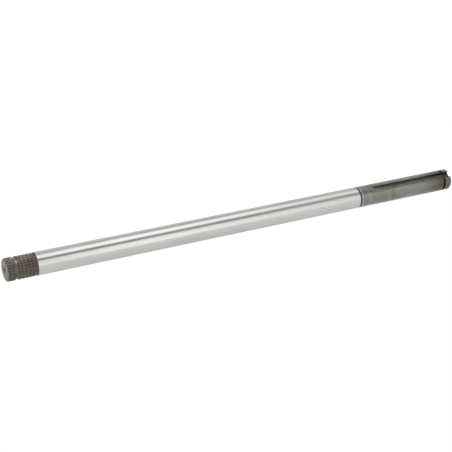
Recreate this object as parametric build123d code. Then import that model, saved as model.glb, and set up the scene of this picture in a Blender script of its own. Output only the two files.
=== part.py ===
from build123d import *
import math
import os

# Drive axle shaft, one turned bar of steel. Sizes are in millimetres.
# The bar lies along X with the frame's origin on its axis, halfway along it.
# The serrated end points to -X, the wheel end to +X, and the keyway opens upward, to +Z.

# Bar
shaft_d = 20.0
shaft_length = 450.0
serrated_chamfer = 1.2
wheel_chamfer = 1.0

# Serrated end: the turned blank, its teeth, and the shallow rings that cross them
serrated_length = 26.9
bearing_pass_clearance = 0.1
tooth_count = 26
tooth_depth = 0.5
tooth_space_width = 1.4
tooth_space_floor = 0.6
tooth_ring_count = 4
tooth_ring_pitch = 3.1
tooth_ring_floor = 0.5
tooth_ring_mouth = 1.6
tooth_ring_depth = 0.3
tooth_ring_start = 13.05
relief_width = 1.7
relief_shoulder = 1.3
relief_clearance = 0.05

# Retaining-ring groove in the serrated end, measured from the end face to its near wall
inner_groove_start = 7.65
inner_groove_width = 2.1
inner_groove_depth = 0.85
inner_groove_bevel = 0.25

# Wheel seat, and the shallow marking ring between it and the ground journal
wheel_seat_length = 105.9
marking_ring_width = 1.2
marking_ring_depth = 0.2

# Retaining-ring groove at the wheel end, measured from the end face to its outer wall
outer_groove_start = 7.0
outer_groove_width = 2.2
outer_groove_depth = 1.2

# Keyway, milled with a disc cutter and open at the wheel end
key_width = 6.0
key_depth = 3.5
key_full_length = 80.0
key_cutter_d = 50.0

# Centre holes, one in each end, with a wide cone that guards the 60 degree seat behind it
centre_guard_d = 10.0
centre_seat_d = 6.7
centre_pilot_d = 3.15
centre_depth = 8.0
centre_guard_angle = 120.0
centre_seat_angle = 60.0
centre_tip_angle = 118.0

# How far a cutting solid runs past the surface that it cuts
overcut = 1.0

shaft_r = shaft_d / 2
blank_r = shaft_r - bearing_pass_clearance
root_r = blank_r - tooth_depth
x_serrated_face = -shaft_length / 2
x_wheel_face = shaft_length / 2
x_journal_start = x_serrated_face + serrated_length
x_relief_start = x_journal_start - relief_shoulder - relief_width


def bar():
    """The plain bar: a turned blank at the serrated end, ground steel for the rest.

    It is drawn in the upright plane, so its seam runs along the top, where the keyway is.
    """
    outline = Polyline(
        (x_serrated_face, 0),
        (x_serrated_face, blank_r - serrated_chamfer),
        (x_serrated_face + serrated_chamfer, blank_r),
        (x_journal_start, blank_r),
        (x_journal_start, shaft_r),
        (x_wheel_face - wheel_chamfer, shaft_r),
        (x_wheel_face, shaft_r - wheel_chamfer),
        (x_wheel_face, 0),
        close=True,
    )
    return revolve(Plane.XZ * make_face(outline), Axis.X)


def ring_cut(x_start, width, floor_r, rim_r, bevel=0.0):
    """The ring of metal that a turning tool removes, with its rims opened by a bevel."""
    mouth_r = rim_r + overcut
    flare = bevel + overcut if bevel else 0.0
    outline = Polyline(
        (x_start, floor_r),
        (x_start, rim_r - bevel),
        (x_start - flare, mouth_r),
        (x_start + width + flare, mouth_r),
        (x_start + width, rim_r - bevel),
        (x_start + width, floor_r),
        close=True,
    )
    return revolve(make_face(outline), Axis.X)


def open_ring_cut(x_middle, floor_width, rim_width, floor_r, rim_r):
    """A shallow ring whose walls open outward from a narrow floor."""
    floor_half = floor_width / 2
    wall_slope = (rim_width - floor_width) / 2 / (rim_r - floor_r)
    mouth_r = rim_r + overcut
    mouth_half = floor_half + wall_slope * (mouth_r - floor_r)
    outline = Polyline(
        (x_middle - floor_half, floor_r),
        (x_middle - mouth_half, mouth_r),
        (x_middle + mouth_half, mouth_r),
        (x_middle + floor_half, floor_r),
        close=True,
    )
    return revolve(make_face(outline), Axis.X)


def tooth_spaces():
    """The straight spaces between the teeth, which run out in the relief groove."""
    wall_slope = (tooth_space_width - tooth_space_floor) / 2 / tooth_depth
    mouth_half = tooth_space_width / 2 + wall_slope * overcut
    section = Plane.YZ * make_face(
        Polyline(
            (-tooth_space_floor / 2, root_r),
            (-mouth_half, blank_r + overcut),
            (mouth_half, blank_r + overcut),
            (tooth_space_floor / 2, root_r),
            close=True,
        )
    )
    length = x_relief_start + relief_width / 2 - x_serrated_face + overcut
    space = Pos(x_serrated_face - overcut, 0, 0) * extrude(section, length)
    return [Rot(X=360 / tooth_count * n) * space for n in range(tooth_count)]


def serrated_end_cuts():
    """Every cut in the serrated end."""
    cuts = tooth_spaces()
    cuts.append(ring_cut(x_relief_start, relief_width, root_r - relief_clearance, blank_r))
    groove_x = x_serrated_face + inner_groove_start
    groove_floor = blank_r - inner_groove_depth
    cuts.append(ring_cut(groove_x, inner_groove_width, groove_floor, blank_r, inner_groove_bevel))
    ring_floor = blank_r - tooth_ring_depth
    for n in range(tooth_ring_count):
        ring_x = x_serrated_face + tooth_ring_start + tooth_ring_pitch * n
        cuts.append(
            open_ring_cut(ring_x, tooth_ring_floor, tooth_ring_mouth, ring_floor, blank_r)
        )
    return cuts


def wheel_end_cuts():
    """The marking ring and the retaining-ring groove on either side of the wheel seat."""
    marking_x = x_wheel_face - wheel_seat_length - marking_ring_width
    marking_floor = shaft_r - marking_ring_depth
    groove_x = x_wheel_face - outer_groove_start - outer_groove_width
    groove_floor = shaft_r - outer_groove_depth
    return [
        ring_cut(marking_x, marking_ring_width, marking_floor, shaft_r),
        ring_cut(groove_x, outer_groove_width, groove_floor, shaft_r),
    ]


def keyway():
    """The path of a disc cutter: a flat floor open at the end, and the disc's own run-out."""
    cutter_r = key_cutter_d / 2
    floor_z = shaft_r - key_depth
    x_full = x_wheel_face - key_full_length
    run = Rectangle(key_full_length + overcut, key_depth + overcut, align=(Align.MIN, Align.MIN))
    disc = Pos(0, cutter_r) * Circle(cutter_r)
    side_view = Plane.XZ * Pos(x_full, floor_z) * (run + disc)
    return extrude(side_view, key_width / 2, both=True)


def centre_hole():
    """A centre-drilled hole that opens to -X, with its mouth at the origin."""
    guard_r = centre_guard_d / 2
    seat_r = centre_seat_d / 2
    pilot_r = centre_pilot_d / 2
    guard_slope = math.tan(math.radians(centre_guard_angle / 2))
    guard_depth = (guard_r - seat_r) / guard_slope
    seat_depth = (seat_r - pilot_r) / math.tan(math.radians(centre_seat_angle / 2))
    tip_depth = pilot_r / math.tan(math.radians(centre_tip_angle / 2))
    outline = Polyline(
        (-overcut, 0),
        (-overcut, guard_r + overcut * guard_slope),
        (guard_depth, seat_r),
        (guard_depth + seat_depth, pilot_r),
        (centre_depth, pilot_r),
        (centre_depth + tip_depth, 0),
        close=True,
    )
    return revolve(make_face(outline), Axis.X)


def axle_shaft():
    """The finished shaft."""
    centre = centre_hole()
    serrated_centre = Pos(x_serrated_face, 0, 0) * centre
    wheel_centre = Pos(x_wheel_face, 0, 0) * Rot(Z=180) * centre
    shaft = bar() - serrated_end_cuts() - wheel_end_cuts() - keyway()
    return shaft - [serrated_centre, wheel_centre]


os.makedirs("parts", exist_ok=True)
export_step(axle_shaft(), "parts/axle_shaft.step")
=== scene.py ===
import math

import bmesh
import bpy
from mathutils import Matrix, Vector


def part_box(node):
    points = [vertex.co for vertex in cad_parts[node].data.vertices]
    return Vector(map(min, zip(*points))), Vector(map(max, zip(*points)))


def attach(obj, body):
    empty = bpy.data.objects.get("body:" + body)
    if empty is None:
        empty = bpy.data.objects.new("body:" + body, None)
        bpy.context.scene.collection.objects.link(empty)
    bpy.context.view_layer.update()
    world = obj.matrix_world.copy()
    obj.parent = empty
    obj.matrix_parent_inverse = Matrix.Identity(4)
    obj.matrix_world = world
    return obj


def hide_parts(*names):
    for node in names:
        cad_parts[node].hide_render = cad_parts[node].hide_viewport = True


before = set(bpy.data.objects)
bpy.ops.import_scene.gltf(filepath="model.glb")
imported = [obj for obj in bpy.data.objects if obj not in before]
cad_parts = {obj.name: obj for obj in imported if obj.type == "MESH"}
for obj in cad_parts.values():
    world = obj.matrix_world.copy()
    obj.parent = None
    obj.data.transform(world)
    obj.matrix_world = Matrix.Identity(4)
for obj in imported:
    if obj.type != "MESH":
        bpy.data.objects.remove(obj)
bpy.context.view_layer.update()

# Scene of a drive axle shaft on a pale floor. Blender's units are metres, and sizes written
# in millimetres are turned into metres where they are used. The shaft lies along X, with its
# serrated end at -X, its wheel end at +X and its keyway open to +Z.

MM = 0.001
SHAFT_NODE = "axle_shaft"
node_low, node_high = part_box(SHAFT_NODE)

# Bar, in millimetres
SHAFT_R = 10.0
X_SERRATED_FACE = node_low.x / MM
X_WHEEL_FACE = node_high.x / MM
SERRATED_LENGTH = 26.9
SERRATED_CHAMFER = 1.2
WHEEL_CHAMFER = 1.0
EDGE_BREAK = 0.1

# Serrated end, in millimetres
BLANK_R = 9.9
ROOT_R = 9.4
TOOTH_COUNT = 26
SPACE_FLOOR_HALF = 0.3
SPACE_MOUTH_HALF = 0.7
TOOTH_EDGE_BREAK = 0.07
TOOTH_EDGE_SHARE = 0.4
FLANK_POINT_SHARE = 0.45
TOOTH_RINGS = (13.05, 16.15, 19.25, 22.35)
TOOTH_RING_FLOOR_HALF = 0.25
TOOTH_RING_MOUTH_HALF = 0.8
TOOTH_RING_DEPTH = 0.3
TOOTH_RING_LEAD = 0.7
CHAMFER_RADII = (9.38, 9.43, 9.55, 9.7, 9.83)
CHAMFER_CORNER = 0.03
CHAMFER_CORNER_END = 0.15
INNER_GROOVE = (7.65, 9.75)
INNER_GROOVE_R = 9.05
INNER_GROOVE_BEVEL = 0.25
GROOVE_CORNER_HEIGHT = 0.1
GROOVE_CORNER_WIDTH = 0.12
RELIEF = (23.9, 25.6)
RELIEF_R = 9.35

# Wheel end, in millimetres from the serrated face
MARKING_RING = (342.9, 344.1)
MARKING_RING_R = 9.8
OUTER_GROOVE = (440.8, 443.0)
OUTER_GROOVE_R = 8.8
KEY_HALF = 3.0
KEY_FLOOR_Z = 6.5
KEY_FULL_START = 370.0
KEY_CUTTER_R = 25.0
KEY_LIP_BREAK = 0.12
COLLAR_STEP = 3.0
COLLAR_CORNER_STEP = 0.02
COLLAR_CORNER_DROP = 0.04

# Centre holes, in millimetres
CENTRE_GUARD_R = 5.0
CENTRE_SEAT_R = 3.35
CENTRE_PILOT_R = 1.575
CENTRE_DEPTH = 8.0
CENTRE_GUARD_HALF_ANGLE = 60.0
CENTRE_SEAT_HALF_ANGLE = 30.0
CENTRE_TIP_HALF_ANGLE = 59.0
CENTRE_TIP_RING = (0.8, 0.2)

# Mesh density: points round a section, and how they are shared out
POINTS_PER_TOOTH = 12
SECTION_POINTS = TOOTH_COUNT * POINTS_PER_TOOTH
KEY_FLOOR_STEPS = 8
KEY_NOTCH_STEPS = 15
WALL_STEPS = 4
LIP_STEPS = 2
CENTRE_POINTS = 104
JOURNAL_STEPS = 48
KEYWAY_STEPS = 16
PLAIN_STEPS = 6
RUN_OUT_TIP_STEP = 0.02
RUN_OUT_FINE_STEPS = 9
RUN_OUT_FINE_LENGTH = 0.9
WELD_DISTANCE = 0.002
SHORTEST_EDGE = 0.001
SHARP_ANGLE = 28.0

# The keyway's walls in the mesh: the least height that gets points of its own, the lip break's
# share of a low wall, how high the evenly spaced points reach, and the least gap above them
LEAST_WALL = 0.01
KEY_LIP_SHARE = 0.3
WALL_POINTS_SHARE = 0.57
LEAST_LIP_GAP = 0.02
NOTCH_END_MARGIN = 0.3


# Cross-sections, each a list of (y, z) in millimetres, counted round from the top

def on_circle(radius, angle):
    return radius * math.sin(angle), radius * math.cos(angle)


def plain_section(radius):
    """A full circle with evenly spaced points."""
    step = 2 * math.pi / SECTION_POINTS
    return [on_circle(radius, step * n) for n in range(SECTION_POINTS)]


def half_pitch_profile(radius):
    """(distance from the space's middle plane, height) for points 0 to 6 of a toothed section."""
    slope = (SPACE_MOUTH_HALF - SPACE_FLOOR_HALF) / (BLANK_R - ROOT_R)
    foot = SPACE_FLOOR_HALF - slope * ROOT_R
    a = slope * slope + 1
    b = 2 * slope * foot
    c = foot * foot - radius * radius
    corner_h = (-b + math.sqrt(b * b - 4 * a * c)) / (2 * a)
    corner_y = slope * corner_h + foot
    flank = corner_h - ROOT_R
    edge = min(TOOTH_EDGE_BREAK, TOOTH_EDGE_SHARE * flank)
    lower_h = corner_h - edge
    corner_angle = math.atan2(corner_y, corner_h) + edge / radius
    half_pitch = math.pi / TOOTH_COUNT
    land = half_pitch - corner_angle
    middle_h = ROOT_R + FLANK_POINT_SHARE * flank
    return [
        (0.0, ROOT_R),
        (SPACE_FLOOR_HALF, ROOT_R),
        (slope * middle_h + foot, middle_h),
        (slope * lower_h + foot, lower_h),
        on_circle(radius, corner_angle),
        on_circle(radius, corner_angle + 0.5 * land),
        on_circle(radius, half_pitch),
    ]


def toothed_section(radius):
    """The toothed blank turned down to a radius, or a circle where that is under the roots."""
    corner_r = math.hypot(SPACE_FLOOR_HALF, ROOT_R)
    if radius > corner_r:
        half = half_pitch_profile(radius)
    else:
        half = [on_circle(radius, math.atan2(y, z)) for y, z in half_pitch_profile(BLANK_R)]
    pitch_points = half + [(-y, z) for y, z in half[-2:0:-1]]
    section = []
    for tooth in range(TOOTH_COUNT):
        turn = 2 * math.pi * tooth / TOOTH_COUNT
        for n, (y, z) in enumerate(pitch_points):
            own_turn = turn if n < len(half) else turn + 2 * math.pi / TOOTH_COUNT
            angle = math.atan2(y, z) + own_turn
            section.append(on_circle(math.hypot(y, z), angle))
    return section


def key_floor_height(s):
    """Height of the keyway's floor at a distance from the serrated face, with the cutter's arc."""
    before_full = max(0.0, KEY_FULL_START - s)
    return KEY_FLOOR_Z + KEY_CUTTER_R - math.sqrt(KEY_CUTTER_R**2 - before_full**2)


def keyed_section(s, radius):
    """A circle with the keyway's notch at its top."""
    floor_z = key_floor_height(s)
    half = min(KEY_HALF, math.sqrt(max(radius * radius - floor_z * floor_z, 0.0)))
    notch = [(half * n / KEY_FLOOR_STEPS, floor_z) for n in range(KEY_FLOOR_STEPS + 1)]
    lip_z = math.sqrt(radius * radius - half * half)
    lip_angle = math.asin(half / radius)
    wall = lip_z - floor_z
    edge = min(KEY_LIP_BREAK, KEY_LIP_SHARE * wall)
    if wall > LEAST_WALL:
        groove_lip_z = math.sqrt(OUTER_GROOVE_R**2 - KEY_HALF**2) - KEY_LIP_BREAK
        fixed_top = min(groove_lip_z, floor_z + WALL_POINTS_SHARE * wall)
        for n in range(1, WALL_STEPS + 1):
            notch.append((half, floor_z + (fixed_top - floor_z) * n / WALL_STEPS))
        lower_lip = lip_z - edge
        if lower_lip > fixed_top + LEAST_LIP_GAP:
            notch.append((half, (fixed_top + lower_lip) / 2))
            notch.append((half, lower_lip))
    arc_start = lip_angle + edge / radius
    plain_step = 2 * math.pi / SECTION_POINTS
    arc_end = max(KEY_NOTCH_STEPS * plain_step, arc_start + NOTCH_END_MARGIN * plain_step)
    spare = KEY_NOTCH_STEPS - len(notch)
    if spare == 0:
        arc_end = arc_start
    for n in range(spare + 1):
        angle = arc_start + (arc_end - arc_start) * n / max(spare, 1)
        notch.append(on_circle(radius, angle))
    arc_steps = SECTION_POINTS - 2 * KEY_NOTCH_STEPS
    arc_step = (2 * math.pi - 2 * arc_end) / arc_steps
    rest = [on_circle(radius, arc_end + arc_step * n) for n in range(1, arc_steps)]
    return notch + rest + [(-y, z) for y, z in notch[:0:-1]]


# Stations along the shaft: (distance from the serrated face, section, material slot up to it)

def serrated_stations():
    """Sections from the serrated face to the start of the ground journal."""
    stations = []

    def put(s, radius, slot, toothed=True):
        section = toothed_section(radius) if toothed else plain_section(radius)
        stations.append((s, section, slot))

    face_r = BLANK_R - SERRATED_CHAMFER
    put(0.0, face_r, "face")
    for radius in CHAMFER_RADII:
        put(radius - face_r, radius, "chamfer")
    put(SERRATED_CHAMFER + CHAMFER_CORNER, BLANK_R - CHAMFER_CORNER, "chamfer")
    put(SERRATED_CHAMFER + CHAMFER_CORNER_END, BLANK_R, "serrated")
    groove_start, groove_end = INNER_GROOVE
    run = groove_start - SERRATED_CHAMFER
    for n in range(1, PLAIN_STEPS):
        put(SERRATED_CHAMFER + run * n / PLAIN_STEPS, BLANK_R, "serrated")
    put(groove_start - INNER_GROOVE_BEVEL, BLANK_R, "serrated")
    put(groove_start, BLANK_R - INNER_GROOVE_BEVEL, "groove")
    put(groove_start, INNER_GROOVE_R + GROOVE_CORNER_HEIGHT, "groove")
    put(groove_start + GROOVE_CORNER_WIDTH, INNER_GROOVE_R, "groove")
    put(groove_end - GROOVE_CORNER_WIDTH, INNER_GROOVE_R, "groove")
    put(groove_end, INNER_GROOVE_R + GROOVE_CORNER_HEIGHT, "groove")
    put(groove_end, BLANK_R - INNER_GROOVE_BEVEL, "groove")
    put(groove_end + INNER_GROOVE_BEVEL, BLANK_R, "groove")
    for middle in TOOTH_RINGS:
        put(middle - TOOTH_RING_MOUTH_HALF - TOOTH_RING_LEAD, BLANK_R, "serrated")
        put(middle - TOOTH_RING_MOUTH_HALF, BLANK_R, "serrated")
        put(middle - TOOTH_RING_FLOOR_HALF, BLANK_R - TOOTH_RING_DEPTH, "tooth_ring")
        put(middle + TOOTH_RING_FLOOR_HALF, BLANK_R - TOOTH_RING_DEPTH, "tooth_ring")
        put(middle + TOOTH_RING_MOUTH_HALF, BLANK_R, "tooth_ring")
    relief_start, relief_end = RELIEF
    put(relief_start - EDGE_BREAK, BLANK_R, "serrated")
    put(relief_start, BLANK_R - EDGE_BREAK, "relief")
    put(relief_start, RELIEF_R, "relief")
    put(relief_end, RELIEF_R, "relief", toothed=False)
    put(relief_end, BLANK_R - EDGE_BREAK, "relief", toothed=False)
    put(relief_end + EDGE_BREAK, BLANK_R, "shoulder", toothed=False)
    put(SERRATED_LENGTH, BLANK_R, "shoulder", toothed=False)
    return stations


def journal_stations():
    """Sections of the ground journal, up to the wheel seat."""
    ring_start, ring_end = MARKING_RING
    first = SERRATED_LENGTH + EDGE_BREAK
    run = ring_start - EDGE_BREAK / 2 - first
    stations = []
    for n in range(JOURNAL_STEPS + 1):
        stations.append((first + run * n / JOURNAL_STEPS, plain_section(SHAFT_R), "ground"))
    floor = plain_section(MARKING_RING_R)
    stations.append((ring_start, plain_section(SHAFT_R - EDGE_BREAK / 2), "marking_ring"))
    stations.append((ring_start, floor, "marking_ring"))
    stations.append((ring_end, floor, "marking_ring"))
    stations.append((ring_end, plain_section(SHAFT_R - EDGE_BREAK / 2), "marking_ring"))
    stations.append((ring_end + EDGE_BREAK / 2, plain_section(SHAFT_R), "seat"))
    return stations


def run_out_stations():
    """The run-out's tip, and distances along it, close together where its floor starts."""
    tip_drop = SHAFT_R - KEY_FLOOR_Z
    reach = math.sqrt(KEY_CUTTER_R**2 - (KEY_CUTTER_R - tip_drop) ** 2)
    tip = KEY_FULL_START - reach
    fine_end = tip + RUN_OUT_FINE_LENGTH
    near = []
    for n in range(1, RUN_OUT_FINE_STEPS + 1):
        near.append(tip + RUN_OUT_FINE_LENGTH * (n / RUN_OUT_FINE_STEPS) ** 2)
    step = (reach - RUN_OUT_FINE_LENGTH) / KEYWAY_STEPS
    return tip, near + [fine_end + step * n for n in range(1, KEYWAY_STEPS + 1)]


def wheel_stations():
    """Sections from the wheel seat's start to the wheel face."""
    full_length = X_WHEEL_FACE - X_SERRATED_FACE
    ring_end = MARKING_RING[1]
    tip, run_out = run_out_stations()
    stations = []
    for n in range(1, PLAIN_STEPS):
        s = ring_end + (tip - ring_end) * n / PLAIN_STEPS
        stations.append((s, plain_section(SHAFT_R), "seat"))
    stations.append((tip - RUN_OUT_TIP_STEP, keyed_section(run_out[0], SHAFT_R), "seat"))
    for s in run_out:
        stations.append((s, keyed_section(s, SHAFT_R), "seat"))
    groove_start, groove_end = OUTER_GROOVE
    run = groove_start - EDGE_BREAK - KEY_FULL_START
    for n in range(1, KEYWAY_STEPS + 1):
        s = KEY_FULL_START + run * n / KEYWAY_STEPS
        stations.append((s, keyed_section(s, SHAFT_R), "seat"))
    lip = keyed_section(groove_start, SHAFT_R - EDGE_BREAK)
    floor = keyed_section(groove_start, OUTER_GROOVE_R)
    stations.append((groove_start, lip, "seat"))
    stations.append((groove_start, floor, "outer_groove"))
    stations.append((groove_end, floor, "outer_groove"))
    stations.append((groove_end, lip, "outer_groove"))
    collar = keyed_section(groove_end, SHAFT_R)
    corner = full_length - WHEEL_CHAMFER
    for s in (groove_end + EDGE_BREAK, groove_end + COLLAR_STEP, corner - EDGE_BREAK):
        stations.append((s, collar, "collar"))
    lowered = keyed_section(groove_end, SHAFT_R - COLLAR_CORNER_DROP)
    stations.append((corner + COLLAR_CORNER_STEP, lowered, "collar"))
    end = keyed_section(groove_end, SHAFT_R - WHEEL_CHAMFER)
    stations.append((full_length, end, "collar"))
    return stations


# Mesh of the shaft

SLOTS = (
    "face",
    "chamfer",
    "serrated",
    "groove",
    "tooth_ring",
    "relief",
    "shoulder",
    "ground",
    "marking_ring",
    "seat",
    "outer_groove",
    "collar",
    "key_floor",
    "key_wall",
    "guard",
    "centre",
)


def notch_slot(index):
    """The keyway's slot for a face between points index and index + 1, or None outside it."""
    middle = index + 0.5
    from_top = min(middle, SECTION_POINTS - middle)
    if from_top < KEY_FLOOR_STEPS:
        return "key_floor"
    if from_top < KEY_FLOOR_STEPS + WALL_STEPS + LIP_STEPS:
        return "key_wall"
    return None


def loft(mesh, stations):
    """Closed rings of faces between neighbouring stations. Returns the first and last ring."""
    rings = []
    for s, section, _ in stations:
        x = X_SERRATED_FACE + s
        rings.append([mesh.verts.new((x * MM, y * MM, z * MM)) for y, z in section])
    key_tip = run_out_stations()[0]
    for j in range(1, len(stations)):
        s, _, slot = stations[j]
        for i in range(SECTION_POINTS):
            k = (i + 1) % SECTION_POINTS
            face = mesh.faces.new((rings[j - 1][i], rings[j][i], rings[j][k], rings[j - 1][k]))
            own_slot = notch_slot(i) if s > key_tip else None
            face.material_index = SLOTS.index(own_slot or slot)
    return rings[0], rings[-1]


def cone_depth(radius_change, half_angle):
    return radius_change / math.tan(math.radians(half_angle))


def centre_hole(mesh, x_face, inward):
    """The rings of a centre-drilled hole, from its mouth to its tip. Returns the mouth's ring."""
    guard_depth = cone_depth(CENTRE_GUARD_R - CENTRE_SEAT_R, CENTRE_GUARD_HALF_ANGLE)
    seat_depth = cone_depth(CENTRE_SEAT_R - CENTRE_PILOT_R, CENTRE_SEAT_HALF_ANGLE)
    tip_depth = cone_depth(CENTRE_PILOT_R, CENTRE_TIP_HALF_ANGLE)
    tip_depth_share, tip_radius_share = CENTRE_TIP_RING
    outline = [
        (0.0, CENTRE_GUARD_R),
        (guard_depth, CENTRE_SEAT_R),
        (guard_depth + seat_depth, CENTRE_PILOT_R),
        (CENTRE_DEPTH, CENTRE_PILOT_R),
        (CENTRE_DEPTH + tip_depth_share * tip_depth, tip_radius_share * CENTRE_PILOT_R),
    ]
    step = 2 * math.pi / CENTRE_POINTS
    rings = []
    for depth, radius in outline:
        x = (x_face + inward * depth) * MM
        points = [on_circle(radius * MM, step * n) for n in range(CENTRE_POINTS)]
        rings.append([mesh.verts.new((x, y, z)) for y, z in points])
    slot = SLOTS.index("centre")
    for near, far in zip(rings, rings[1:]):
        own_slot = SLOTS.index("guard") if near is rings[0] else slot
        for i in range(CENTRE_POINTS):
            k = (i + 1) % CENTRE_POINTS
            mesh.faces.new((near[i], near[k], far[k], far[i])).material_index = own_slot
    tip = mesh.verts.new(((x_face + inward * (CENTRE_DEPTH + tip_depth)) * MM, 0, 0))
    for i in range(CENTRE_POINTS):
        k = (i + 1) % CENTRE_POINTS
        mesh.faces.new((rings[-1][i], rings[-1][k], tip)).material_index = slot
    return rings[0]


def ring_edges(ring):
    """The edges that join a closed ring of vertices."""
    edges = []
    for a, b in zip(ring, ring[1:] + ring[:1]):
        edge = next((e for e in a.link_edges if e.other_vert(a) is b), None)
        edges.append(edge)
    return edges


def end_face(mesh, outer, mouth):
    """The flat face between the shaft's outline and its centre hole."""
    edges = ring_edges(outer) + ring_edges(mouth)
    made = bmesh.ops.triangle_fill(mesh, use_beauty=True, use_dissolve=False, edges=edges)
    for item in made["geom"]:
        if isinstance(item, bmesh.types.BMFace):
            item.material_index = SLOTS.index("face")


def shaft_mesh():
    """The whole surface of the shaft, closed and smooth between its edges."""
    mesh = bmesh.new()
    stations = serrated_stations() + journal_stations() + wheel_stations()
    first, last = loft(mesh, stations)
    end_face(mesh, first, centre_hole(mesh, X_SERRATED_FACE, 1))
    end_face(mesh, last, centre_hole(mesh, X_WHEEL_FACE, -1))
    bmesh.ops.remove_doubles(mesh, verts=mesh.verts, dist=WELD_DISTANCE * MM)
    bmesh.ops.dissolve_degenerate(mesh, edges=mesh.edges, dist=SHORTEST_EDGE * MM)
    bmesh.ops.recalc_face_normals(mesh, faces=mesh.faces)
    data = bpy.data.meshes.new("drive_axle_shaft")
    mesh.to_mesh(data)
    mesh.free()
    for polygon in data.polygons:
        polygon.use_smooth = True
    data.set_sharp_from_angle(angle=math.radians(SHARP_ANGLE))
    return data


# Materials. Every one is worked out from the object's own coordinates. A place on the shaft is
# a distance from the serrated face in millimetres and a bearing in degrees, 0 in front and 90
# on top. Where a tone changes with y or z, those are metres from the axis, +y on the far side.
# Colours are linear red, green and blue. A run is where a change begins and ends.

# The spans round 0.5 that a noise mostly stays in
SPAN = (0.35, 0.65)
WIDE_SPAN = (0.3, 0.7)

# Ground steel, and how much of its mirroring it keeps at a grazing view
EDGE_TINT = 0.75
GROUND_ROUGHNESS = (0.17, 0.25)
GROUND_DARK = (0.5, 0.494, 0.473)
GROUND_LIGHT = (0.545, 0.539, 0.516)

# Scale on the serrated end
SCALE_DARK = (0.07, 0.06, 0.048)
SCALE_LIGHT = (0.132, 0.114, 0.093)
SCALE_BROWN = (0.108, 0.086, 0.062)
SCALE_RED = (0.122, 0.09, 0.07)
SCALE_OLIVE = (0.09, 0.092, 0.074)
SCALE_WORN = (0.2, 0.175, 0.145)
SCALE_GROOVE_BAND = (0.05, 0.044, 0.034)
SCALE_DEEP = (0.055, 0.045, 0.037)
SCALE_ROUGHNESS = (0.6, 0.44)
SCALE_BROWN_RUN = (7.0, 12.0)
RINGED_START_RUN = (10.8, 11.2)
RINGED_END_RUN = (22.8, 21.8)
SHOULDER_RUN = (22.6, 24.2)
FIRST_TEETH_RUN = (4.6, 5.6)

# Behind the groove: distance and reach of a dark band, and of the painted shade that darkens it on
# the far side
GROOVE_BAND_PLACE = (10.4, 1.1)
PAINTED_SHADE_RIM_PLACE = (10.3, 0.9)

# Stains on the scale: distance, bearing, reach in millimetres, strength, colour
SCALE_STAINS = (
    (21.0, 30.0, 8.0, 0.6, (0.13, 0.09, 0.058)),
    (21.5, 115.0, 5.0, 0.6, (0.105, 0.108, 0.085)),
    (15.5, 112.0, 4.0, 0.5, (0.13, 0.1, 0.082)),
    (6.6, 118.0, 3.0, 0.4, (0.18, 0.165, 0.148)),
    (14.3, 16.0, 6.5, 0.5, (0.17, 0.14, 0.108)),
    (6.2, 66.0, 4.0, 0.6, SCALE_DEEP),
    (21.3, 76.0, 6.5, 0.6, SCALE_DEEP),
)

# Groove in the serrated end
GROOVE_DARK = (0.1, 0.092, 0.07)
GROOVE_LIGHT = (0.17, 0.158, 0.124)
GROOVE_SHADED_RUN = (7.7, 8.6)
# A painted glint on the groove's floor, and where along the shaft it lies
PAINTED_GLINT = (0.5, 0.485, 0.43)
PAINTED_GLINT_RUN = (8.9, 9.1)

# Film and soil on the wheel seat, and a painted shade on it
FILM_DARK = (0.192, 0.188, 0.162)
FILM_LIGHT = (0.225, 0.225, 0.208)
FILM_FLECKS = (0.28, 0.275, 0.25)
FILM_OLIVE = (0.195, 0.193, 0.13)
FILM_BARE = (0.265, 0.265, 0.255)
FILM_PALE = (0.25, 0.25, 0.215)
FILM_GREY = (0.225, 0.23, 0.22)
FILM_PAINTED_SHADE = (0.125, 0.127, 0.118)
FILM_SMUDGE = (0.13, 0.12, 0.092)
FILM_STAIN = (0.21, 0.2, 0.12)
SOIL_DARK = (0.07, 0.06, 0.044)
SOIL_LIGHT = (0.1, 0.084, 0.058)
OLIVE_RUN = (353.5, 358.5)
SOIL_RUN = (414.0, 441.0)

# Heat band and rim of the wheel seat
BAND_DARK = (0.178, 0.196, 0.207)
BAND_LIGHT = (0.22, 0.238, 0.248)
# The band's far side, lighter as painted light
BAND_FAR = (0.25, 0.258, 0.27)
BAND_END = 351.3
BAND_FAR_EXTRA = 5.0
BAND_WANDER = 0.6
RIM_RUBBED = (0.36, 0.36, 0.355)
RIM_RUBBED_RUN = (345.8, 346.4)
RIM_LINE = (0.13, 0.13, 0.128)
RIM_LINE_RUN = (344.7, 345.1)
SEAT_ROUGHNESS = (0.28, 0.4)

# Keyway: where its painted shade changes along it, and the painted shadow at its mouth
KEY_START_RUN = (359.0, 363.0)
KEY_MIDDLE_RUN = (364.0, 380.0)
KEY_END_RUN = (416.0, 440.0)
KEY_MOUTH_SHADOW = (0.036, 0.035, 0.029)
KEY_MOUTH_SHADOW_RUN = (440.5, 444.5)

# Faced ends
# Colour of the painted shade beside the centre hole's mouth
FACE_HOLE_SHADE = (0.045, 0.045, 0.035)
FACE_LINE_PITCH = 0.22


def rgb(red, green, blue):
    return red, green, blue, 1.0


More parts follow.
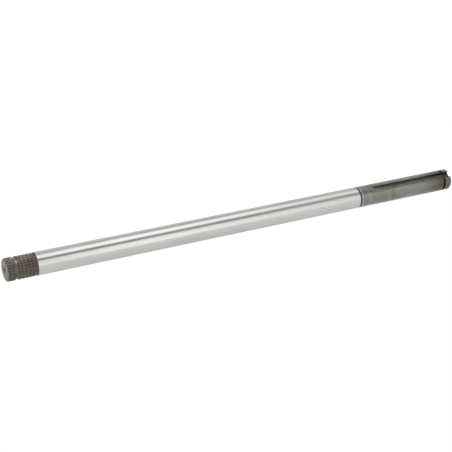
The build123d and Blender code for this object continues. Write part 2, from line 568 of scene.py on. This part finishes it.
class Nodes:
    """A small helper that adds shader nodes to one material and links them."""

    def __init__(self, name):
        self.material = bpy.data.materials.new(name)
        self.material.use_nodes = True
        self.tree = self.material.node_tree
        self.shader = self.tree.nodes["Principled BSDF"]
        self.position = self.tree.nodes.new("ShaderNodeTexCoord").outputs["Object"]
        split = self.tree.nodes.new("ShaderNodeSeparateXYZ")
        self.tree.links.new(self.position, split.inputs[0])
        self.x, self.y, self.z = split.outputs
        self.s = self.math("SUBTRACT", self.math("DIVIDE", self.x, MM), X_SERRATED_FACE)
        squares = self.math("ADD", self.product(self.y, self.y), self.product(self.z, self.z))
        self.radius = self.math("DIVIDE", self.math("SQRT", squares), MM)

    def link(self, source, socket):
        if isinstance(source, bpy.types.NodeSocket):
            self.tree.links.new(source, socket)
        else:
            socket.default_value = source

    def math(self, operation, a, b=0.0):
        node = self.tree.nodes.new("ShaderNodeMath")
        node.operation = operation
        self.link(a, node.inputs[0])
        self.link(b, node.inputs[1])
        return node.outputs[0]

    def product(self, first, *others):
        """Values multiplied together."""
        for other in others:
            first = self.math("MULTIPLY", first, other)
        return first

    def stretched(self, along, across):
        """Position with one scale along the shaft and another across it."""
        node = self.tree.nodes.new("ShaderNodeMapping")
        node.inputs["Scale"].default_value = (along, across, across)
        self.link(self.position, node.inputs["Vector"])
        return node.outputs[0]

    def noise(self, vector, scale, detail=3.0, roughness=0.55):
        node = self.tree.nodes.new("ShaderNodeTexNoise")
        self.link(vector, node.inputs["Vector"])
        node.inputs["Scale"].default_value = scale
        node.inputs["Detail"].default_value = detail
        node.inputs["Roughness"].default_value = roughness
        return node.outputs["Fac"]

    def spread(self, value, low, high, to_low=0.0, to_high=1.0):
        """A clamped straight-line change of range."""
        node = self.tree.nodes.new("ShaderNodeMapRange")
        self.link(value, node.inputs["Value"])
        node.inputs["From Min"].default_value = low
        node.inputs["From Max"].default_value = high
        self.link(to_low, node.inputs["To Min"])
        self.link(to_high, node.inputs["To Max"])
        return node.outputs["Result"]

    def band(self, s, reach, along=None):
        """1 at a distance s from the serrated face, fading to 0 on both sides of it."""
        along = self.s if along is None else along
        away = self.math("ABSOLUTE", self.math("SUBTRACT", along, s))
        return self.spread(away, 0.0, reach, 1.0, 0.0)

    def spot(self, s, bearing, reach, radius=SHAFT_R):
        """1 at a place on the surface, fading to 0 round it with a ragged edge."""
        angle = math.radians(bearing)
        node = self.tree.nodes.new("ShaderNodeVectorMath")
        node.operation = "DISTANCE"
        self.link(self.position, node.inputs[0])
        node.inputs[1].default_value = (
            (X_SERRATED_FACE + s) * MM,
            -radius * MM * math.cos(angle),
            radius * MM * math.sin(angle),
        )
        uneven = self.noise(self.position, 500.0)
        ragged = self.spread(uneven, 0.3, 0.7, 0.7 * reach * MM, 1.3 * reach * MM)
        share = self.math("DIVIDE", node.outputs["Value"], ragged)
        return self.spread(share, 0.2, 1.0, 1.0, 0.0)

    def mix(self, factor, a, b, blend="MIX"):
        node = self.tree.nodes.new("ShaderNodeMix")
        node.data_type = "RGBA"
        node.blend_type = blend
        self.link(factor, node.inputs["Factor"])
        self.link(a, node.inputs["A"])
        self.link(b, node.inputs["B"])
        return node.outputs["Result"]

    def between(self, factor, a, b):
        """A colour between two named ones."""
        return self.mix(factor, rgb(*a), rgb(*b))

    def tint(self, colour, mask, strength, other):
        """A colour with a named one mixed into it where the mask is 1."""
        return self.mix(self.product(mask, strength), colour, rgb(*other))

    def shade(self, colour, factor):
        """A colour made darker or lighter by a factor."""
        return self.mix(1.0, colour, factor, "MULTIPLY")

    def bump(self, height, distance, strength=1.0, under=None):
        node = self.tree.nodes.new("ShaderNodeBump")
        node.inputs["Distance"].default_value = distance
        node.inputs["Strength"].default_value = strength
        self.link(height, node.inputs["Height"])
        if under is not None:
            self.link(under, node.inputs["Normal"])
        return node.outputs["Normal"]

    def finish(self, colour, roughness, normal, metallic=1.0, edge_tint=1.0):
        self.link(colour, self.shader.inputs["Base Color"])
        self.link(roughness, self.shader.inputs["Roughness"])
        self.link(metallic, self.shader.inputs["Metallic"])
        self.link(normal, self.shader.inputs["Normal"])
        self.shader.inputs["Specular Tint"].default_value = rgb(edge_tint, edge_tint, edge_tint)
        return self.material


def ground_steel():
    """Finely ground steel, with its grinding lines round the bar."""
    n = Nodes("ground_steel")
    lines = n.noise(n.stretched(1.0, 0.02), 5200.0, detail=2.0)
    cloud = n.noise(n.stretched(0.25, 1.0), 90.0, detail=4.0)
    colour = n.between(n.spread(cloud, *SPAN), GROUND_DARK, GROUND_LIGHT)
    average = n.math("ADD", n.product(lines, 0.5), n.product(cloud, 0.5))
    roughness = n.spread(average, *SPAN, *GROUND_ROUGHNESS)
    normal = n.bump(lines, 0.000002)
    return n.finish(colour, roughness, normal, edge_tint=EDGE_TINT)


def scale_steel(name, level, painted_light_gain):
    """The unground serrated end under brown mill scale, mottled and stained.

    Level is how light it is. Painted light gain is how much painted light lightens it on top of the
    rings' length; below 0 it paints shade there.
    """
    n = Nodes(name)
    patches = n.noise(n.position, 330.0, detail=3.0, roughness=0.5)
    blotches = n.noise(n.position, 520.0, detail=2.0, roughness=0.6)
    grain = n.noise(n.position, 3200.0, detail=4.0, roughness=0.65)
    colour = n.between(n.spread(grain, *WIDE_SPAN), SCALE_DARK, SCALE_LIGHT)
    colour = n.tint(colour, n.spread(n.s, *SCALE_BROWN_RUN), 0.6, SCALE_BROWN)
    colour = n.tint(colour, n.spread(patches, 0.5, 0.62), 0.6, SCALE_RED)
    colour = n.tint(colour, n.spread(patches, 0.48, 0.38), 0.6, SCALE_OLIVE)
    for s, bearing, reach, strength, stain in SCALE_STAINS:
        colour = n.tint(colour, n.spot(s, bearing, reach), strength, stain)
    colour = n.shade(colour, n.spread(blotches, 0.32, 0.68, 0.75 * level, 1.25 * level))
    # Painted shade makes the hollows a little darker, and painted light makes the top of the rings'
    # length lighter
    colour = n.shade(colour, n.spread(n.radius, ROOT_R, 9.85, 0.95, 1.0))
    ringed = n.product(n.spread(n.s, *RINGED_START_RUN), n.spread(n.s, *RINGED_END_RUN))
    # top holds the painted light on the far top of the rings' length
    top = n.product(n.spread(n.y, -0.0015, 0.002), ringed, painted_light_gain)
    colour = n.shade(colour, n.math("ADD", top, 1.0))
    worn = n.product(n.spread(n.radius, 9.8, BLANK_R), n.spread(grain, 0.45, 0.65))
    colour = n.tint(colour, worn, 0.12, SCALE_WORN)
    # A dark band behind the groove, with painted shade that makes it darkest on the far side
    colour = n.tint(colour, n.band(*GROOVE_BAND_PLACE), 0.85, SCALE_GROOVE_BAND)
    painted_shade_rim = n.product(n.band(*PAINTED_SHADE_RIM_PLACE), n.spread(n.y, 0.0, 0.003))
    colour = n.shade(colour, n.spread(painted_shade_rim, 0.0, 1.0, 1.0, 0.5))
    # Painted shade: the shoulder and the first teeth are darker, most of all on the far side
    painted_shade_shoulder = n.spread(n.y, -0.002, 0.005, 0.97, 0.25)
    colour = n.shade(colour, n.spread(n.s, *SHOULDER_RUN, 1.0, painted_shade_shoulder))
    painted_shade_first_teeth = n.spread(n.y, 0.0, 0.006, 0.88, 0.74)
    colour = n.shade(colour, n.spread(n.s, *FIRST_TEETH_RUN, painted_shade_first_teeth, 1.0))
    normal = n.bump(blotches, 0.00006, 0.8, under=n.bump(grain, 0.00005, 0.8))
    return n.finish(colour, n.spread(grain, *WIDE_SPAN, *SCALE_ROUGHNESS), normal, 0.3)


def groove_steel():
    """The serrated end's groove, turned through the scale, olive-grey with a painted glint."""
    n = Nodes("groove_steel")
    lines = n.noise(n.stretched(1.0, 0.05), 7000.0, detail=2.0)
    dirt = n.noise(n.position, 600.0, detail=4.0)
    colour = n.between(n.spread(dirt, *SPAN), GROOVE_DARK, GROOVE_LIGHT)
    # Painted shade: darker at the groove's start, beside its wall, and on the far side
    colour = n.shade(colour, n.spread(n.s, *GROOVE_SHADED_RUN, 0.75, 1.0))
    colour = n.shade(colour, n.spread(n.y, 0.0, 0.004, 1.0, 0.84))
    # A painted glint on the groove's floor
    painted_glint = n.product(n.spot(9.4, 92.0, 2.4), n.spread(n.s, *PAINTED_GLINT_RUN))
    colour = n.tint(colour, painted_glint, 1.0, PAINTED_GLINT)
    normal = n.bump(lines, 0.000008)
    return n.finish(colour, n.spread(dirt, *WIDE_SPAN, 0.35, 0.5), normal, 0.7)


def wheel_film(n, s, mottle, fine):
    """The wheel seat's thin olive-grey film, its smudges, a painted shade on top before the keyway,
    and the soil near the wheel end.
    """
    film = n.between(n.spread(mottle, 0.36, 0.64), FILM_DARK, FILM_LIGHT)
    film = n.tint(film, n.spread(fine, 0.45, 0.7), 0.35, FILM_FLECKS)
    olive = n.product(n.spot(366.0, 55.0, 16.0), n.spread(s, *OLIVE_RUN))
    film = n.tint(film, olive, 0.55, FILM_OLIVE)
    bare = n.product(n.band(353.5, 3.0, s), n.spread(n.y, -0.002, -0.005))
    film = n.tint(film, bare, 0.8, FILM_BARE)
    film = n.tint(film, n.band(376.0, 4.0, s), 0.5, FILM_PALE)
    film = n.tint(film, n.band(399.0, 16.0), 0.4, FILM_GREY)
    # Painted shade on top, before the keyway's run-out
    film = n.tint(film, n.spot(356.5, 97.0, 6.0), 0.75, FILM_PAINTED_SHADE)
    smudge = n.product(n.band(380.6, 2.6, s), n.spot(380.6, 28.0, 10.0))
    film = n.tint(film, smudge, 0.6, FILM_SMUDGE)
    film = n.tint(film, n.spot(425.0, 60.0, 5.0), 0.5, FILM_STAIN)
    soil = n.between(n.spread(fine, *SPAN), SOIL_DARK, SOIL_LIGHT)
    return n.mix(n.spread(s, *SOIL_RUN), film, soil)


def wheel_seat_steel():
    """Ground steel with a rubbed rim, a blue-grey heat band with painted shade on its top and
    painted light on its far side, and a mottled olive-grey film.
    """
    n = Nodes("wheel_seat_steel")
    wander = n.noise(n.position, 160.0, detail=3.0)
    mottle = n.noise(n.stretched(0.45, 1.0), 110.0, detail=4.0, roughness=0.6)
    fine = n.noise(n.stretched(0.6, 1.0), 900.0, detail=4.0)
    s = n.math("ADD", n.s, n.spread(wander, *WIDE_SPAN, -BAND_WANDER, BAND_WANDER))
    film = wheel_film(n, s, mottle, fine)
    band = n.between(n.spread(mottle, *WIDE_SPAN), BAND_DARK, BAND_LIGHT)
    # Painted shade darkens the band on top, and painted light makes it lighter on the far side
    band = n.shade(band, n.spread(n.y, -0.005, -0.0025, 1.0, 0.82))
    band = n.mix(n.spread(n.y, 0.0025, 0.0055), band, rgb(*BAND_FAR))
    # The band is longer on the far side
    band_end = n.math("ADD", n.spread(n.y, -0.0015, 0.0065, 0.0, BAND_FAR_EXTRA), BAND_END)
    past_band = n.spread(n.math("SUBTRACT", s, band_end), -0.7, 0.7)
    colour = n.mix(past_band, band, film)
    colour = n.mix(n.spread(n.s, *RIM_RUBBED_RUN), rgb(*RIM_RUBBED), colour)
    colour = n.mix(n.spread(n.s, *RIM_LINE_RUN), rgb(*RIM_LINE), colour)
    lines = n.noise(n.stretched(1.0, 0.02), 4200.0, detail=2.0)
    normal = n.bump(lines, 0.000003)
    return n.finish(colour, n.spread(fine, *WIDE_SPAN, *SEAT_ROUGHNESS), normal)


def milled_steel(name, run_out, start, middle, end):
    """A milled side or floor of the keyway, streaked along the cut, with painted shade that deepens
    towards its end, where it is also dirtier.
    """
    n = Nodes(name)
    streaks = n.noise(n.stretched(0.12, 1.0), 1400.0, detail=3.0)
    blotch = n.noise(n.position, 240.0, detail=3.0)
    # Painted shade: lightest on the run-out, darker further in, darkest towards the end, and a
    # painted shadow at the outer groove
    colour = n.between(n.spread(n.s, *KEY_START_RUN), run_out, start)
    colour = n.mix(n.spread(n.s, *KEY_MIDDLE_RUN), colour, rgb(*middle))
    colour = n.mix(n.spread(n.s, *KEY_END_RUN), colour, rgb(*end))
    colour = n.tint(colour, n.spread(n.s, *KEY_MOUTH_SHADOW_RUN), 0.65, KEY_MOUTH_SHADOW)
    colour = n.shade(colour, n.spread(blotch, *SPAN, 0.85, 1.15))
    normal = n.bump(streaks, 0.00001)
    return n.finish(colour, n.spread(streaks, *WIDE_SPAN, 0.32, 0.46), normal, 0.9)


def grooved_steel(name, dark, light, metallic, rough, edge_tint=1.0):
    """Turned grooves and rings, with fine tool lines round them."""
    n = Nodes(name)
    lines = n.noise(n.stretched(1.0, 0.05), 7000.0, detail=2.0)
    dirt = n.noise(n.position, 700.0, detail=4.0)
    colour = n.between(n.spread(dirt, *SPAN), dark, light)
    normal = n.bump(lines, 0.000008)
    roughness = n.spread(dirt, *WIDE_SPAN, rough, rough + 0.15)
    return n.finish(colour, roughness, normal, metallic, edge_tint)


def faced_steel(name, dark, light, hole_shade, far_level=1.0, low_level=1.0):
    """Faced in a lathe, with circular tool lines, and painted shade beside the centre hole's mouth.

    Far level and low level are how light painted shade leaves it on its far side and low down.
    """
    n = Nodes(name)
    wave = n.math("SINE", n.product(n.radius, 2 * math.pi / FACE_LINE_PITCH))
    dirt = n.noise(n.position, 500.0, detail=4.0)
    colour = n.between(n.spread(dirt, *SPAN), dark, light)
    # Painted shade on the far side, low down and beside the hole's mouth
    colour = n.shade(colour, n.spread(n.y, -0.002, 0.004, 1.0, far_level))
    colour = n.shade(colour, n.spread(n.z, 0.006, -0.004, 1.0, low_level))
    colour = n.tint(colour, n.spot(0.0, 36.0, 5.8, radius=3.8), hole_shade, FACE_HOLE_SHADE)
    normal = n.bump(wave, 0.000003)
    return n.finish(colour, n.spread(dirt, *WIDE_SPAN, 0.34, 0.48), normal, 0.8)


def serrated_end_materials():
    """Materials of the serrated end and of both centre holes, by slot."""
    scale = scale_steel("scale_steel", 1.0, 0.24)
    face_dark, face_light = (0.152, 0.148, 0.126), (0.208, 0.203, 0.175)
    chamfer_dark, chamfer_light = (0.22, 0.204, 0.182), (0.285, 0.266, 0.238)
    guard_dark, guard_light = (0.18, 0.178, 0.155), (0.235, 0.232, 0.205)
    # The centre holes are painted dark inside, as painted shade
    hole_shade_dark, hole_shade_light = (0.03, 0.03, 0.025), (0.065, 0.064, 0.055)
    return {
        # The faced ends carry painted shade beside the hole's mouth, low down, and on the chamfer's
        # far side
        "face": faced_steel("face_steel", face_dark, face_light, 0.9, low_level=0.7),
        "chamfer": faced_steel("chamfer_steel", chamfer_dark, chamfer_light, 0.1, 0.62, 0.6),
        "serrated": scale,
        "groove": groove_steel(),
        # The rings' scale is painted darker, as painted shade in their recesses, and a little
        # darker on top
        "tooth_ring": scale_steel("ring_scale_shaded_steel", 0.7, -0.08),
        "relief": scale,
        "shoulder": scale,
        "guard": faced_steel("guard_steel", guard_dark, guard_light, 0.9),
        "centre": grooved_steel("centre_shade_steel", hole_shade_dark, hole_shade_light, 0.6, 0.42),
    }


def wheel_end_materials():
    """Materials of the ground journal and the wheel end, by slot."""
    # The marking ring and the outer groove are painted near-black, as painted shade in their
    # grooves
    ring_shade_dark, ring_shade_light = (0.02, 0.019, 0.017), (0.045, 0.044, 0.04)
    groove_shade_dark, groove_shade_light = (0.005, 0.005, 0.004), (0.014, 0.013, 0.011)
    collar_dark, collar_light = (0.1, 0.099, 0.09), (0.155, 0.153, 0.14)
    return {
        "ground": ground_steel(),
        "marking_ring": grooved_steel("marking_ring_shade_steel", ring_shade_dark, ring_shade_light, 0.6, 0.4),
        "seat": wheel_seat_steel(),
        "outer_groove": grooved_steel("outer_groove_shade_steel", groove_shade_dark, groove_shade_light, 0.3, 0.5, 0.5),
        "collar": grooved_steel("collar_steel", collar_dark, collar_light, 0.9, 0.36),
        "key_floor": milled_steel(
            "key_floor_steel",
            run_out=(0.27, 0.268, 0.24),
            start=(0.19, 0.188, 0.167),
            middle=(0.15, 0.148, 0.132),
            end=(0.1, 0.09, 0.066),
        ),
        "key_wall": milled_steel(
            "key_wall_steel",
            run_out=(0.17, 0.168, 0.15),
            start=(0.165, 0.163, 0.145),
            middle=(0.14, 0.138, 0.12),
            end=(0.05, 0.047, 0.038),
        ),
    }


def shaft_materials():
    """One material for each slot of the mesh, in the order of SLOTS."""
    by_slot = {**serrated_end_materials(), **wheel_end_materials()}
    return [by_slot[slot] for slot in SLOTS]


def add_shaft():
    shaft = bpy.data.objects.new("drive_axle_shaft", shaft_mesh())
    bpy.context.scene.collection.objects.link(shaft)
    for material in shaft_materials():
        shaft.data.materials.append(material)
    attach(shaft, "root")
    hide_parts(SHAFT_NODE)
    return shaft


# Studio: floor, world, soft boxes and cards, with lengths in metres

# The soft boxes' brightest place along X, how far they fade on its sides, and to what share
HOT_SPOT_X = 0.2
FADE_REACH = 0.5
SHORT_FADE_REACH = 0.3
FADE_TO = 0.25

# Light from all round, the share of the floor that shows white, and how white it is mirrored
AMBIENT = 0.6
FLOOR_SEEN = 0.93
FLOOR_MIRRORED_NEAR = 0.97
FLOOR_MIRRORED_FAR = 1.03
FLOOR_RAMP_Y = (-0.01, 0.03)
FLOOR_SIZE = 8.0
FLOOR_COLOUR = (0.93, 0.93, 0.93)

# Where the cards' levels change along X, and the tints of lamps and cards
CARD_RAMP_X = (0.0, 0.6)
WARM = (1.0, 0.985, 0.95)
PLAIN = (1.0, 1.0, 1.0)
COOL = (0.97, 0.985, 1.02)


def world_axis(tree, axis):
    """The world's X, Y or Z of the place that is being shaded."""
    split = tree.nodes.new("ShaderNodeSeparateXYZ")
    tree.links.new(tree.nodes.new("ShaderNodeNewGeometry").outputs["Position"], split.inputs[0])
    return split.outputs[axis]


def world_ramp(tree, axis, start, end, value_start, value_end):
    """A value that changes in a straight line between two places on one of the world's axes."""
    ramp = tree.nodes.new("ShaderNodeMapRange")
    tree.links.new(world_axis(tree, axis), ramp.inputs["Value"])
    ramp.inputs["From Min"].default_value = start
    ramp.inputs["From Max"].default_value = end
    ramp.inputs["To Min"].default_value = value_start
    ramp.inputs["To Max"].default_value = value_end
    return ramp.outputs["Result"]


def background_rays(tree, seen=1.0):
    """How white each kind of ray sees the background: 0 for rays that only light the object."""
    path = tree.nodes.new("ShaderNodeLightPath")
    total = 0.0
    shares = (("Is Camera Ray", seen), ("Is Glossy Ray", 1.0), ("Is Transmission Ray", 1.0))
    for name, share in shares:
        part = tree.nodes.new("ShaderNodeMath")
        part.operation = "MULTIPLY_ADD"
        tree.links.new(path.outputs[name], part.inputs[0])
        part.inputs[1].default_value = share
        if isinstance(total, float):
            part.inputs[2].default_value = total
        else:
            tree.links.new(total, part.inputs[2])
        total = part.outputs[0]
    return total


def add_world():
    world = bpy.data.worlds.new("pale_studio")
    bpy.context.scene.world = world
    world.use_nodes = True
    tree = world.node_tree
    background = tree.nodes["Background"]
    mix = tree.nodes.new("ShaderNodeMix")
    mix.data_type = "RGBA"
    tree.links.new(background_rays(tree), mix.inputs["Factor"])
    mix.inputs["A"].default_value = rgb(AMBIENT, AMBIENT, AMBIENT)
    mix.inputs["B"].default_value = rgb(1.0, 1.0, 1.0)
    tree.links.new(mix.outputs["Result"], background.inputs["Color"])


def panel(name, width, depth, colour):
    """A flat rectangle in its own XY plane with a matt material."""
    mesh = bmesh.new()
    bmesh.ops.create_grid(mesh, x_segments=1, y_segments=1, size=0.5)
    bmesh.ops.scale(mesh, vec=(width, depth, 1.0), verts=mesh.verts)
    data = bpy.data.meshes.new(name)
    mesh.to_mesh(data)
    mesh.free()
    obj = bpy.data.objects.new(name, data)
    bpy.context.scene.collection.objects.link(obj)
    material = bpy.data.materials.new(name)
    material.use_nodes = True
    shader = material.node_tree.nodes["Principled BSDF"]
    shader.inputs["Base Color"].default_value = rgb(*colour)
    shader.inputs["Roughness"].default_value = 1.0
    shader.inputs["Specular IOR Level"].default_value = 0.0
    data.materials.append(material)
    return obj


def add_floor():
    """A pale floor under the shaft. It shows white, and keeps a soft part of the shaft's shadow."""
    floor = panel("floor", FLOOR_SIZE, FLOOR_SIZE, FLOOR_COLOUR)
    floor.location.z = node_low.z
    tree = floor.data.materials[0].node_tree
    output = tree.nodes["Material Output"]
    glow = tree.nodes.new("ShaderNodeEmission")
    glow.inputs["Color"].default_value = rgb(1.0, 1.0, 1.0)
    level = tree.nodes.new("ShaderNodeMix")
    glossy = tree.nodes.new("ShaderNodeLightPath").outputs["Is Glossy Ray"]
    tree.links.new(glossy, level.inputs["Factor"])
    level.inputs["A"].default_value = 1.0
    mirrored = world_ramp(tree, "Y", *FLOOR_RAMP_Y, FLOOR_MIRRORED_NEAR, FLOOR_MIRRORED_FAR)
    tree.links.new(mirrored, level.inputs["B"])
    tree.links.new(level.outputs["Result"], glow.inputs["Strength"])
    mix = tree.nodes.new("ShaderNodeMixShader")
    tree.links.new(background_rays(tree, FLOOR_SEEN), mix.inputs[0])
    tree.links.new(tree.nodes["Principled BSDF"].outputs[0], mix.inputs[1])
    tree.links.new(glow.outputs[0], mix.inputs[2])
    tree.links.new(mix.outputs[0], output.inputs["Surface"])


def fade_with_distance(lamp_data, short_reach):
    """Lets a soft box fade along the shaft to both sides of its hot spot, sooner towards -X."""
    lamp_data.use_nodes = True
    tree = lamp_data.node_tree
    least = tree.nodes.new("ShaderNodeMath")
    least.operation = "MINIMUM"
    rising = world_ramp(tree, "X", HOT_SPOT_X - short_reach, HOT_SPOT_X, FADE_TO, 1.0)
    falling = world_ramp(tree, "X", HOT_SPOT_X, HOT_SPOT_X + FADE_REACH, 1.0, FADE_TO)
    tree.links.new(rising, least.inputs[0])
    tree.links.new(falling, least.inputs[1])
    tree.links.new(least.outputs[0], tree.nodes["Emission"].inputs["Strength"])


def round_axis(bearing, distance, x):
    """A place round the shaft. Bearing is in degrees: 0 at the camera's side, 90 overhead."""
    angle = math.radians(bearing)
    return Vector((x, -distance * math.cos(angle), distance * math.sin(angle)))


def facing_axis(place, x):
    """A turn that points an object's own -Z at the shaft's axis and keeps its X along it."""
    towards = (Vector((x, 0, 0)) - place).normalized()
    side = Vector((1, 0, 0))
    third = (-towards).cross(side)
    return Matrix((side, third, -towards)).transposed().to_quaternion()


def area_lamp(name, bearing, span, distance, x_middle, x_length, level, tint):
    """A rectangular lamp that faces the shaft's axis and isn't seen by the camera."""
    width = 2 * distance * math.tan(math.radians(span / 2))
    data = bpy.data.lights.new(name, "AREA")
    data.shape = "RECTANGLE"
    data.size = x_length
    data.size_y = width
    data.energy = level * math.pi * x_length * width
    data.color = tint
    lamp = bpy.data.objects.new(name, data)
    lamp.location = round_axis(bearing, distance, x_middle)
    lamp.rotation_mode = "QUATERNION"
    lamp.rotation_quaternion = facing_axis(lamp.location, x_middle)
    lamp.visible_camera = False
    bpy.context.scene.collection.objects.link(lamp)
    return lamp


def soft_box(
    name, bearing, span, distance, x_middle, x_length, level, tint, short_reach, slant=0.0
):
    """A soft box that runs along the shaft, with its brightness as seen from the shaft.

    It is brightest at its hot spot and fades towards both ends. Slant, in degrees, turns it
    in its own plane.
    """
    lamp = area_lamp(name, bearing, span, distance, x_middle, x_length, level, tint)
    fade_with_distance(lamp.data, short_reach)
    turn = Matrix.Rotation(math.radians(slant), 3, "Z").to_quaternion()
    lamp.rotation_quaternion = lamp.rotation_quaternion @ turn
    return lamp


def rear_light(bearing, span, distance, x_middle, x_length, level):
    """Light from behind that brings out the rough serrated end. It isn't mirrored in the steel."""
    lamp = area_lamp("rear_light", bearing, span, distance, x_middle, x_length, level, PLAIN)
    lamp.visible_glossy = False
    lamp.data.use_shadow = False
    return lamp


def card(name, bearing, span, distance, x_middle, x_length, tint, level, far_level, flare=0.0):
    """A grey card that only shows in the steel's reflections.

    Its level changes along the shaft, and flare widens its +X end, in metres.
    """
    width = 2 * distance * math.tan(math.radians(span / 2))
    obj = panel(name, x_length, width, (0.0, 0.0, 0.0))
    tree = obj.data.materials[0].node_tree
    shader = tree.nodes["Principled BSDF"]
    shader.inputs["Emission Color"].default_value = rgb(*tint)
    ramp = world_ramp(tree, "X", *CARD_RAMP_X, level, far_level)
    tree.links.new(ramp, shader.inputs["Emission Strength"])
    for vertex in obj.data.vertices:
        if vertex.co.x > 0 and vertex.co.y > 0:
            vertex.co.y += flare
    obj.location = round_axis(bearing, distance, x_middle)
    obj.rotation_mode = "QUATERNION"
    obj.rotation_quaternion = facing_axis(obj.location, x_middle)
    obj.visible_camera = False
    obj.visible_diffuse = False
    obj.visible_shadow = False
    return obj


def add_lights():
    soft_box(
        "front_box", bearing=55.5, span=41.5, distance=0.9, x_middle=0.3, x_length=1.8,
        level=0.7, tint=WARM, short_reach=SHORT_FADE_REACH,
    )
    soft_box(
        "low_box", bearing=12.0, span=60.0, distance=0.9, x_middle=0.3, x_length=1.8,
        level=0.1, tint=WARM, short_reach=SHORT_FADE_REACH,
    )
    soft_box(
        "far_box", bearing=126.8, span=32.0, distance=0.9, x_middle=0.2, x_length=1.8,
        level=0.9, tint=COOL, short_reach=FADE_REACH, slant=22.0,
    )
    rear_light(
        bearing=160.0, span=32.0, distance=0.95, x_middle=-0.2, x_length=0.8, level=19.0
    )
    card(
        "overhead_card", bearing=90.4, span=7.7, distance=0.8, x_middle=0.3, x_length=1.8,
        tint=PLAIN, level=0.32, far_level=0.55, flare=0.42,
    )
    card(
        "back_card", bearing=167.0, span=26.0, distance=0.8, x_middle=0.3, x_length=1.8,
        tint=COOL, level=0.76, far_level=0.76,
    )


# Camera, at the photograph's place

IMAGE_SIDE = 452
FOCAL_PIXELS = 1012.3
SENSOR = 36.0
CAMERA_AZIMUTH = -43.073
CAMERA_ELEVATION = 53.716
CAMERA_ROLL = 25.273
CAMERA_DISTANCE = 0.91565
CAMERA_AIM = Vector((-0.02145, -0.00154, 0.0))


def add_camera():
    azimuth = math.radians(CAMERA_AZIMUTH)
    elevation = math.radians(CAMERA_ELEVATION)
    back = Vector((
        math.sin(azimuth) * math.cos(elevation),
        -math.cos(azimuth) * math.cos(elevation),
        math.sin(elevation),
    ))
    data = bpy.data.cameras.new("camera")
    data.sensor_width = SENSOR
    data.lens = FOCAL_PIXELS / IMAGE_SIDE * SENSOR
    camera = bpy.data.objects.new("camera", data)
    camera.location = CAMERA_AIM + back * CAMERA_DISTANCE
    level = (-back).to_track_quat("-Z", "Y")
    roll = Matrix.Rotation(math.radians(CAMERA_ROLL), 3, "Z").to_quaternion()
    camera.rotation_mode = "QUATERNION"
    camera.rotation_quaternion = level @ roll
    bpy.context.scene.collection.objects.link(camera)
    bpy.context.scene.camera = camera


bpy.context.scene.view_settings.view_transform = "Standard"
add_camera()
add_world()
add_floor()
add_lights()
add_shaft()
